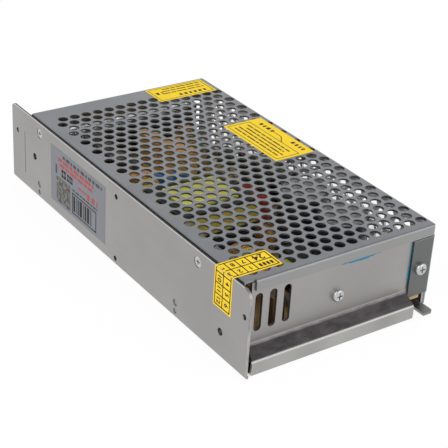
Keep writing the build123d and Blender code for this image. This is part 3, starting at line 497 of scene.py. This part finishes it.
snubber_red, snubber_brown = (0.46, 0.045, 0.03), (0.20, 0.11, 0.05)
disc_blue, disc_ochre = (0.03, 0.20, 0.55), (0.46, 0.21, 0.05)
dipped("dipped_red", "snubber_capacitors", snubber_red, 1.15, 0.4, 60.0, snubber_brown, 0.05)
dipped("dipped_blue", "safety_capacitors", disc_blue, 1.2, 0.3, 0.0, disc_ochre, 0.06)


# Main transformer: two ground ferrite halves on a moulded bobbin wound with copper and yellow
# polyester tape, and a band of the same tape that holds the halves together.
def taped(name, colour):
    """Glossy tape in layers: slightly darker overlaps and fine creases."""
    made, tree, shader = start_material(name, colour, roughness=0.35)
    shader.inputs["Coat Weight"].default_value = 0.15
    layers = noise(tree, (0.02, 0.02, 0.7), detail=2.0)
    creases = noise(tree, (0.15, 0.15, 0.25), detail=4.0)
    tone = blend_colours(
        tree, remap(tree, layers, 0.4, 0.6, 0, 1), scaled(colour, 0.85), scaled(colour, 1.08)
    )
    tree.links.new(tone, shader.inputs["Base Color"])
    tree.links.new(remap(tree, creases, 0.3, 0.7, 0.28, 0.46), shader.inputs["Roughness"])
    add_bump(tree, shader, creases, 0.08, 0.6)
    return made


ferrite = moulded("ferrite", (0.03, 0.03, 0.032), 0.55, grain=0.9, depth=0.05)
winding_tape = taped("winding_tape", (0.98, 0.90, 0.17))
dress(ferrite, "transformer_core")
dress(winding_tape, "transformer_winding")
dress(taped("band_tape", (0.80, 0.66, 0.12)), "transformer_tape")
dress(black_moulding, "transformer_foot")

# Driver transformer: a small ferrite frame on a moulded foot, wound and then taped in yellow. It
# stands on the board.
dress(ferrite, "driver_core")
dress(taped("driver_tape", (0.85, 0.86, 0.14)), "driver_winding")
dress(black_moulding, "driver_foot")

# Switching transistors: two black packages on a grey pad against the slotted end, pressed by an
# aluminium bar that one screw through the end plate draws tight.
sink_aluminium = sheet_metal("sink_aluminium", (0.52, 0.53, 0.54), 0.42)[0]
dress(black_moulding, "switching_transistors")
dress(moulded("pad_grey", (0.30, 0.33, 0.35), 0.7, grain=0.7), "transistor_pad")
dress(sink_aluminium, "transistor_clamp")

# Output heatsink: an aluminium sheet folded at its top, standing on the board along the label
# wall, with the two output diodes screwed to it.
dress(sink_aluminium, "output_heatsink")
dress(black_moulding, "output_diodes")
dress(nickel_plate, "diode_screws")

# Output choke and storage choke: yellow painted rings of powdered iron, standing on the board,
# wound with one layer of enamelled copper wire.
ring_yellow = moulded("ring_yellow", (0.66, 0.58, 0.14), 0.45, grain=0.7, depth=0.05)
dress(ring_yellow, "output_choke_core", "storage_choke_core")
ring_winding("output_choke_wire", "output_choke_core", "output_choke_winding", 1.1, 16, copper)
ring_winding("storage_choke_wire", "storage_choke_core", "storage_choke_winding", 1.2, 18, copper)

# Control chip and resistors: a moulded package with two rows of legs, and dipped blue-grey
# resistors that lie on the board.
dress(black_moulding, "control_chip")
dress(moulded("resistor_blue", (0.16, 0.20, 0.24), 0.5, grain=0.8, depth=0.05), "resistors")

# Output trimmer and lamp: a blue moulded box with a white slotted rotor that turns, and a green
# lamp beside it, both at the terminal end.
dress(moulded("trimmer_blue", (0.03, 0.16, 0.50), 0.35, grain=0.8), "trimmer_body")
dress(moulded("rotor_white", (0.80, 0.80, 0.76), 0.4, grain=0.8), "trimmer_rotor")
dress(moulded("lamp_green", (0.05, 0.42, 0.12), 0.2, grain=0.4, coat=0.3), "indicator")

# Cover: one zinc-coated steel sheet, punched with rows of staggered round holes and folded down
# over the far wall, with a lip over the slotted end and a tab at its corner. Painted light and shade:
# the lip is painted slightly lighter, the tab darker, the fold behind the label wall black as the
# gap's shade, and the mesh wall's inner face pale, and that face is also made nearly non-metallic.
joint_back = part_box("cover")[0].y / MM + 0.7
joint_low = 30.0
lip_starts, lip_low, lip_high = 91.0, 33.6, 38.4
tab_high, tab_stops = 33.5, 48.0
inside_start, inside_end, inside_top = -82.0, 90.0, 37.6
inside_low, inside_high = 46.5, 48.5
cover_metal, tree, shader, tone = sheet_metal("cover_metal", (0.295, 0.305, 0.320), 0.40, spangle=0.10)
x, y, z = split_axes(tree)
# Painted light: the lip is painted a slightly lighter, greyer tone than the sheet.
lip = inside(tree, [(x, lip_starts, None), (z, lip_low, lip_high)], 0.3)
tone = blend_colours(tree, lip, tone, (0.315, 0.314, 0.312))
# Painted shade: the tab is painted darker.
tab = inside(tree, [(x, lip_starts, None), (y, None, tab_stops), (z, None, tab_high)], 0.1)
tone = blend_colours(tree, tab, tone, (0.155, 0.16, 0.16))
# Painted light: the mesh wall's inner face is painted pale, and made nearly non-metallic.
far_limits = [(x, inside_start, inside_end), (y, inside_low, inside_high), (z, None, inside_top)]
far_inside_painted_light = inside(tree, far_limits, 0.05)
tone = blend_colours(tree, far_inside_painted_light, tone, (0.80, 0.80, 0.83))
tree.links.new(remap(tree, far_inside_painted_light, 0, 1, 1.0, 0.1), shader.inputs["Metallic"])
# Painted shade: the fold behind the label wall is painted black, as the shade of the gap there.
joint_painted_shade = inside(tree, [(y, None, joint_back), (z, joint_low, None)], 0.12)
tree.links.new(blend_colours(tree, joint_painted_shade, tone, (0.015, 0.015, 0.015)), shader.inputs["Base Color"])
dress(cover_metal, "cover")

# Case screws: two countersunk screws in the label wall, two in the far wall, and pan heads in
# the slotted end and in the cover's tab, all nickel-plated steel.
dress(
    nickel_plate, "cover_flange_screws", "cover_side_screws", "cover_tab_screw", "end_plate_screw"
)


# Silver label: matt metallised film stuck to the label wall, printed in red, grey and black
# with blocks and bars where such a label has its writing.
def printed_film(name, colour, roughness, metallic=0.0):
    """Label stock or ink: smooth film with a faint mottle and soft ripples."""
    made, tree, shader = start_material(name, colour, metallic=metallic, roughness=roughness)
    mottle = noise(tree, (0.25, 0.25, 0.25), detail=3.0)
    ripples = noise(tree, (0.06, 0.06, 0.06), detail=2.0)
    tone = blend_colours(
        tree, remap(tree, mottle, 0.3, 0.7, 0, 1), scaled(colour, 0.96), scaled(colour, 1.03)
    )
    tree.links.new(tone, shader.inputs["Base Color"])
    worn = remap(tree, mottle, 0.3, 0.7, roughness - 0.05, roughness + 0.07)
    tree.links.new(worn, shader.inputs["Roughness"])
    shader.inputs["Specular IOR Level"].default_value = 0.25
    add_bump(tree, shader, ripples, 0.15, 0.4)
    return made


def on_wall(along, up, lift):
    """A point on the label wall: along is X and up is Z."""
    return Vector((along, WALL_FACE - lift, up)) * MM


def laid_film(name, place, areas, lift, thickness, material, steps=1):
    """Rectangles of film or ink, made flat and thickened, then laid on a surface of the case."""
    built = bmesh.new()
    for low, high in areas:
        middle = ((low[0] + high[0]) / 2, (low[1] + high[1]) / 2, lift)
        size = (high[0] - low[0], high[1] - low[1], 1, 1)
        spot = Matrix.Translation(middle) @ Matrix.Diagonal(size)
        bmesh.ops.create_grid(built, x_segments=1, y_segments=steps, size=0.5, matrix=spot)
    raised = bmesh.ops.extrude_face_region(built, geom=built.faces[:])
    upper = [item for item in raised["geom"] if isinstance(item, bmesh.types.BMVert)]
    bmesh.ops.translate(built, verts=upper, vec=(0, 0, thickness))
    for vertex in built.verts:
        vertex.co = place(*vertex.co)
    bmesh.ops.recalc_face_normals(built, faces=built.faces)
    mesh = bpy.data.meshes.new(name)
    built.to_mesh(mesh)
    built.free()
    add_piece(name, mesh, material)


def outline(low, high, inset, width):
    """The four lines of a printed frame, as rectangles."""
    left, bottom = low[0] + inset, low[1] + inset
    right, top = high[0] - inset, high[1] - inset
    return [
        ((left, bottom), (right, bottom + width)),
        ((left, top - width), (right, top)),
        ((left, bottom), (left + width, top)),
        ((right - width, bottom), (right, top)),
    ]


def word_row(start, end, base, height, words):
    """A row of print as plain blocks: words gives each block's length, taken in turn."""
    row = []
    place = start
    number = 0
    while place < end - SHORTEST_WORD:
        reach = min(place + words[number % len(words)], end)
        row.append(((place, base), (reach, base + height)))
        place = reach + 0.55 * height + 0.2
        number += 1
    return row


def print_rows(*rows):
    """Several rows of print; each row has word_row's values in their order."""
    return [block for row in rows for block in word_row(*row)]


FILM = 0.05
INK = 0.03
SHORTEST_WORD = 0.4
silver_low = (-59.0, 5.9)
silver_high = (-9.0, 34.0)
silver_film = printed_film("silver_film", (0.22, 0.23, 0.255), 0.36, metallic=0.75)
ink_red = printed_film("ink_red", (0.40, 0.085, 0.09), 0.6)
ink_grey = printed_film("ink_grey", (0.07, 0.07, 0.075), 0.6)
ink_black = printed_film("ink_black", (0.018, 0.016, 0.014), 0.6)
laid_film("side_label", on_wall, [(silver_low, silver_high)], 0.0, FILM, silver_film)
red_print = print_rows(
    (-52.0, -19.5, 28.3, 1.7, (3.4, 5.2, 2.6, 4.4)),
    (-50.5, -20.5, 26.0, 1.5, (4.6, 2.8, 6.4)),
    (-33.0, -25.6, 22.2, 1.0, (2.6, 1.8)),
    (-25.0, -15.8, 20.6, 2.9, (2.2, 2.6)),
)
laid_film("side_label_red", on_wall, red_print, FILM, INK, ink_red)
grey_print = print_rows(
    (-47.5, -12.0, 30.8, 1.5, (2.0, 3.4, 1.4, 2.6)),
    (-54.4, -50.0, 21.3, 4.4, (1.5, 2.0)),
)
for frame_low, frame_high, width in (
    ((-48.6, 21.4), (-44.8, 25.2), 1.1),
    ((-43.4, 21.7), (-41.2, 25.0), 0.8),
    ((-40.6, 21.7), (-38.4, 25.0), 0.8),
):
    grey_print += outline(frame_low, frame_high, 0.0, width)
grey_print += print_rows((-38.5, -16.0, 19.0, 0.9, (2.2, 3.4, 1.8)))
laid_film("side_label_marks", on_wall, grey_print, FILM, INK, ink_grey)
ink_square, tree, shader = start_material("ink_square", (0.09, 0.09, 0.085), roughness=0.6)
checks = noise(tree, (0.55, 0.55, 0.55), detail=2.0)
check_shade = remap(tree, checks, 0.42, 0.60, 0, 1)
tone = blend_colours(tree, check_shade, (0.055, 0.055, 0.055), (0.19, 0.185, 0.16))
tree.links.new(tone, shader.inputs["Base Color"])
square = [((-53.5, 7.4), (-40.6, 20.2))]
laid_film("side_label_square", on_wall, square, FILM, INK, ink_square)
field_low = (-38.8, 7.7)
field_high = (-16.8, 18.0)
bar_foot, bar_head = 9.0, 16.8
wide_gap, narrow_gap = 1.2, 0.8
bar_widths = (1.6, 0.5, 0.9, 2.2, 0.5, 1.3, 1.9, 0.6)
bars = outline(field_low, field_high, 0.0, 0.55)
edge = field_low[0] + wide_gap
for number, bar_width in enumerate(bar_widths):
    bars.append(((edge, bar_foot), (edge + bar_width, bar_head)))
    edge += bar_width + (narrow_gap if number % 3 else wide_gap)
laid_film("side_label_bars", on_wall, bars, FILM, INK, ink_black)

# Date sticker: yellow paper film folded over the top edge, from the label wall on to the cover,
# printed with a grid, the months' plain numbers and a year's.
sticker_low = (74.4, -17.2)
sticker_high = (86.3, 23.2)
EDGE_RADIUS = 0.06
TOP_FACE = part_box("cover")[1].z / MM


def over_edge(along, walked, lift):
    """A point on the date sticker: walked is measured from the edge, positive across the top."""
    quarter = EDGE_RADIUS * math.pi / 2
    if walked >= quarter / 2:
        flat = walked - quarter / 2
        return Vector((along, WALL_FACE + EDGE_RADIUS + flat, TOP_FACE + lift)) * MM
    if walked <= -quarter / 2:
        flat = -walked - quarter / 2
        return Vector((along, WALL_FACE - lift, TOP_FACE - EDGE_RADIUS - flat)) * MM
    turn = math.pi / 4 + walked / EDGE_RADIUS
    reach = EDGE_RADIUS + lift
    y = WALL_FACE + EDGE_RADIUS - reach * math.cos(turn)
    z = TOP_FACE - EDGE_RADIUS + reach * math.sin(turn)
    return Vector((along, y, z)) * MM


def number_on_sticker(text, along, walked, size):
    """A plain number, read from the terminal end, laid on the sticker."""
    curve = bpy.data.curves.new("number_" + text, "FONT")
    curve.body = text
    curve.size = size
    curve.offset = 0.09
    curve.align_x = "CENTER"
    curve.align_y = "CENTER"
    curve.extrude = INK / 2
    mesh = mesh_of("number_" + text, curve)
    for vertex in mesh.vertices:
        right, up, lift = vertex.co
        vertex.co = over_edge(along + up, walked - right, FILM + INK / 2 + lift)
    add_piece("month_" + text, mesh, ink_black)


yellow_film = printed_film("yellow_film", (0.90, 0.625, 0.012), 0.55)
sticker = [(sticker_low, sticker_high)]
laid_film("date_sticker", over_edge, sticker, 0.0, FILM, yellow_film, steps=96)
border = 0.75
line = 0.5
cell = 4.83
rows = 6
word_pitch, word_length = 1.75, 1.15
month_size, year_size = 3.3, 5.2
inner_left, inner_right = sticker_low[0] + border, sticker_high[0] - border
inner_bottom, inner_top = sticker_low[1] + border, sticker_high[1] - border
first_cell = sticker_high[1] - 10.4
centre_x = (sticker_low[0] + sticker_high[0]) / 2
grid = outline(sticker_low, sticker_high, border, line)
grid.append(((centre_x - line / 2, inner_bottom), (centre_x + line / 2, inner_top)))
for number in range(rows):
    across = first_cell - number * cell
    grid.append(((inner_left, across - line / 2), (inner_right, across + line / 2)))
for number in range(4):
    along = first_cell + 1.7 + number * word_pitch
    grid.append(((centre_x + 1.6, along), (centre_x + 3.8, along + word_length)))
laid_film("date_sticker_grid", over_edge, grid, FILM, INK, ink_black, steps=48)
for month in range(12):
    column_middle = centre_x + (2.6 if month < rows else -2.6)
    walked = first_cell - (month % rows + 0.5) * cell
    number_on_sticker(str(month + 1), column_middle, walked, month_size)
number_on_sticker("24", centre_x - 2.7, first_cell + 4.8, year_size)


# Selector label: yellow film stuck on the cover beside the voltage selector, with a printed frame,
# rows of print as plain blocks, and a bent pointer line towards the switch.
def on_top(along, across, lift):
    """A point on the cover's top: along is X and across is Y."""
    return Vector((along, across, TOP_FACE + lift)) * MM


select_low = (-28.4, 24.8)
select_high = (13.0, 46.2)
select_area = [(select_low, select_high)]
laid_film("selector_label", on_top, select_area, 0.0, FILM, yellow_film)
print_height = 0.75
pointer_turn, pointer_y = -7.0, 42.0
pointer_steps = 9
select_print = outline(select_low, (select_high[0], select_high[1] - 6.0), 1.4, 0.3)
select_print += print_rows(
    (-24.6, 8.8, 28.4, print_height, (5.2, 3.4, 6.4, 2.2)),
    (-24.6, 9.4, 30.8, print_height, (3.6, 7.0, 2.8, 4.4)),
    (-22.0, 7.0, 33.2, print_height, (7.4, 2.6, 4.8)),
    (-24.6, 8.0, 35.6, print_height, (4.4, 5.6, 3.0)),
    (-23.0, -13.0, 41.2, 2.0, (1.6, 1.2, 2.0)),
    (0.5, 9.5, 42.0, 2.0, (1.6, 1.4, 1.0)),
)
select_print.append(((-13.4, pointer_y), (pointer_turn, pointer_y + 0.35)))
for step in range(pointer_steps):
    start = pointer_turn + step * 0.6
    drop = pointer_y - step * 0.42
    select_print.append(((start, drop), (start + 0.65, drop + 0.4)))
laid_film("selector_label_print", on_top, select_print, FILM, INK, ink_black)

# Rear label: yellow film stuck across the cover's terminal end, with a printed frame and rows of
# print as plain blocks.
rear_low = (-81.0, 14.1)
rear_high = (-65.8, 46.2)
laid_film("rear_label", on_top, [(rear_low, rear_high)], 0.0, FILM, yellow_film)


def on_top_across(across, along, lift):
    """A point on the cover's top for rows that run across the case."""
    return on_top(along, across, lift)


rear_print = outline((rear_low[1], rear_low[0]), (rear_high[1], rear_high[0]), 1.0, 0.28)
rear_print += print_rows(
    (27.0, 43.0, -70.4, 1.9, (1.5, 1.7, 1.3)),
    (22.0, 43.5, -78.6, 0.7, (4.2, 2.8, 5.4)),
    (21.0, 43.5, -76.2, 0.7, (4.2, 2.8, 5.4)),
    (20.0, 43.5, -73.8, 0.7, (4.2, 2.8, 5.4)),
    (17.0, 20.6, -76.0, 2.4, (1.5, 1.5)),
)
laid_film("rear_label_print", on_top_across, rear_print, FILM, INK, ink_black)


# Blue film: scraps of the sheet's protective film, torn off and left in a ragged line under the
# cover's lip and beside its tab.
def on_end(across, up, lift):
    """A point on the slotted plate: across is Y and up is Z."""
    return Vector((PLATE_FACE + lift, across, up)) * MM


PLATE_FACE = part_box("cover")[1].x / MM - 0.9
film_blue = printed_film("film_blue", (0.01, 0.20, 0.32), 0.3)
scraps = [
    ((0.5, 33.1), (4.2, 34.1)),
    ((4.2, 32.7), (9.4, 34.2)),
    ((9.4, 32.5), (14.2, 34.2)),
    ((14.2, 32.9), (16.8, 34.1)),
    ((16.8, 33.3), (20.0, 34.2)),
    ((36.6, 15.0), (37.4, 21.5)),
    ((37.0, 21.5), (37.4, 33.0)),
]
laid_film("blue_film", on_end, scraps, 0.0, FILM, film_blue)


# Studio: a white floor that keeps a soft shadow, plain soft light, and the photo's viewpoint.
# Floor and sky read as white from the camera and in the metal's reflections. The shade behind
# the far wall, which shows through the holes, is painted on the floor from the case's place.
def seen_directly(tree):
    """One for camera, glossy and transmission rays."""
    path = tree.nodes.new("ShaderNodeLightPath")
    total = path.outputs["Is Camera Ray"]
    for name in ("Is Glossy Ray", "Is Transmission Ray"):
        total = sum_up(tree, "MAXIMUM", total, path.outputs[name])
    return total


bpy.ops.mesh.primitive_plane_add(size=6.0, location=(0, 0, -0.0002))
floor = bpy.context.object
floor.name = "floor"
floor_paint, tree, surface = start_material("floor_paint", (1.0, 1.0, 1.0), roughness=0.9)
glow = tree.nodes.new("ShaderNodeEmission")
glow.inputs["Color"].default_value = (1.0, 1.0, 1.0, 1.0)
glow.inputs["Strength"].default_value = 1.0
mixed = tree.nodes.new("ShaderNodeMixShader")
far_wall = 49.0
near_slope, far_slope = 0.99, 1.46
near_edge, far_edge = 78.0, -64.0
shade_starts = 44.0
fade_starts, fade_ends = 60.0, 104.0
softness = 14.0
x, y, z = split_axes(tree)
from_wall = sum_up(tree, "SUBTRACT", y, far_wall)
near_slant = sum_up(tree, "ADD", x, sum_up(tree, "MULTIPLY", from_wall, near_slope))
far_slant = sum_up(tree, "ADD", x, sum_up(tree, "MULTIPLY", from_wall, far_slope))
shade_limits = [(near_slant, None, near_edge), (far_slant, far_edge, None), (y, shade_starts, None)]
far_shadow = inside(tree, shade_limits, softness)
far_shadow = sum_up(tree, "MULTIPLY", far_shadow, remap(tree, y, fade_starts, fade_ends, 1, 0))
shaded = blend_colours(tree, far_shadow, (1.0, 1.0, 1.0), (0.42, 0.42, 0.42))
tree.links.new(shaded, surface.inputs["Base Color"])
lit = remap(tree, far_shadow, 0, 1, 0.94, 0.20)
tree.links.new(sum_up(tree, "MULTIPLY", seen_directly(tree), lit), mixed.inputs["Fac"])
tree.links.new(surface.outputs["BSDF"], mixed.inputs[1])
tree.links.new(glow.outputs["Emission"], mixed.inputs[2])
tree.links.new(mixed.outputs["Shader"], tree.nodes["Material Output"].inputs["Surface"])
floor.data.materials.append(floor_paint)

world = bpy.data.worlds.new("studio")
bpy.context.scene.world = world
world.use_nodes = True
tree = world.node_tree
background = tree.nodes["Background"]
direction = tree.nodes.new("ShaderNodeTexCoord")
parts = tree.nodes.new("ShaderNodeSeparateXYZ")
tree.links.new(direction.outputs["Generated"], parts.inputs["Vector"])
overhead = remap(tree, parts.outputs["Z"], 0.35, 0.95, 0, 1)
sky = blend_colours(tree, overhead, (1.0, 1.0, 1.0), (0.28, 0.28, 0.29))
seen = seen_directly(tree)
tree.links.new(blend_colours(tree, seen, (1.0, 1.0, 1.0), sky), background.inputs["Color"])
strength = remap(tree, seen, 0, 1, 0.82, 1.0)
tree.links.new(strength, background.inputs["Strength"])


def soft_lamp(name, place, target, size, power):
    """A square soft light."""
    data = bpy.data.lights.new(name, "AREA")
    data.shape = "SQUARE"
    data.size = size
    data.energy = power
    lamp = bpy.data.objects.new(name, data)
    bpy.context.scene.collection.objects.link(lamp)
    lamp.location = place
    lamp.rotation_euler = (Vector(target) - Vector(place)).to_track_quat("-Z", "Y").to_euler()


case_middle = (0, 0, 0.02)
lamp_size = 0.9
soft_lamp("key_light", (0.45, -0.75, 0.95), case_middle, lamp_size, 4.2)
soft_lamp("fill_light", (0.9, 0.55, 0.6), case_middle, lamp_size, 2.5)

# Camera: fitted to the corners of the case in the photo. Its place is in millimetres, and the
# focal length is in pixels of the square picture.
camera_place = Vector((417.2, -294.9, 287.8)) * MM
azimuth = math.radians(54.02)
elevation = math.radians(28.71)
roll = math.radians(3.51)
focal_pixels = 1291.77
picture_pixels = 448
sensor = 36.0
ahead = Vector((
    -math.sin(azimuth) * math.cos(elevation),
    math.cos(azimuth) * math.cos(elevation),
    -math.sin(elevation),
))
level = Vector((math.cos(azimuth), math.sin(azimuth), 0))
upright = level.cross(ahead)
right = level * math.cos(roll) + upright * math.sin(roll)
above = upright * math.cos(roll) - level * math.sin(roll)
camera_data = bpy.data.cameras.new("camera")
camera_data.sensor_width = sensor
camera_data.lens = focal_pixels / picture_pixels * sensor
camera = bpy.data.objects.new("camera", camera_data)
bpy.context.scene.collection.objects.link(camera)
turned = Matrix((right, above, -ahead)).transposed().to_4x4()
camera.matrix_world = Matrix.Translation(camera_place) @ turned
bpy.context.scene.camera = camera
bpy.context.scene.view_settings.view_transform = "Standard"
